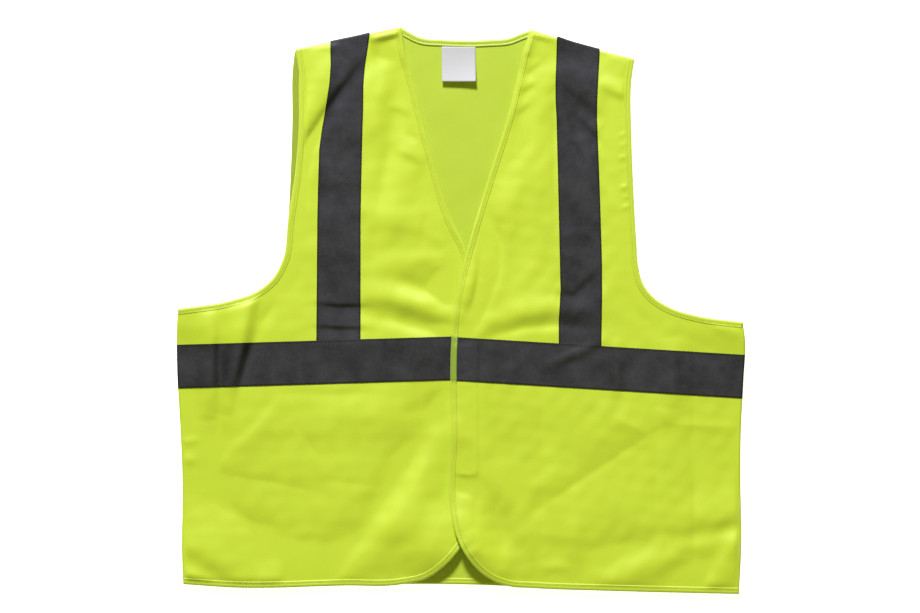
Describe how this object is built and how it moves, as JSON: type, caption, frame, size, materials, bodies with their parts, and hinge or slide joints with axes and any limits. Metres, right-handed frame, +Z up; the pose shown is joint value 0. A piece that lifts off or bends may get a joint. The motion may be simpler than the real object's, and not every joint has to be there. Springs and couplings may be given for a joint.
{
  "type": "high-visibility safety vest",
  "caption": "Sleeveless fluorescent vest laid flat, front up, with reflective braces and band, bound edges and a lapped front.",
  "frame": {"origin": "centre of the bounding box in x and y, on the surface that the vest lies on", "axes": "+Z up from the surface, +Y towards the neck, +X towards the wearer's left"},
  "size_m": [0.6634, 0.6621, 0.0105],
  "materials": {
    "fabric_outside": "matt",
    "fabric_inside": "matt",
    "binding": "satin",
    "reflective_tape": "satin",
    "hook_and_loop": "matt",
    "label": "matt"
  },
  "bodies": {
    "root": {"back_panel": "fabric_inside", "front_right_panel": "fabric_outside", "front_left_panel": "fabric_outside", "binding_neck_back": "binding", "binding_front_right": "binding", "binding_front_left": "binding", "binding_hem_back": "binding", "binding_armhole_right_front": "binding", "binding_armhole_right_back": "binding", "binding_armhole_left_front": "binding", "binding_armhole_left_back": "binding", "tape_brace_right": "reflective_tape", "tape_brace_left": "reflective_tape", "tape_band_front_right": "reflective_tape", "tape_band_front_left": "reflective_tape", "tape_band_back": "reflective_tape", "hook_strip": "hook_and_loop", "loop_strip": "hook_and_loop", "neck_label": "label"}
  },
  "joints": []
}
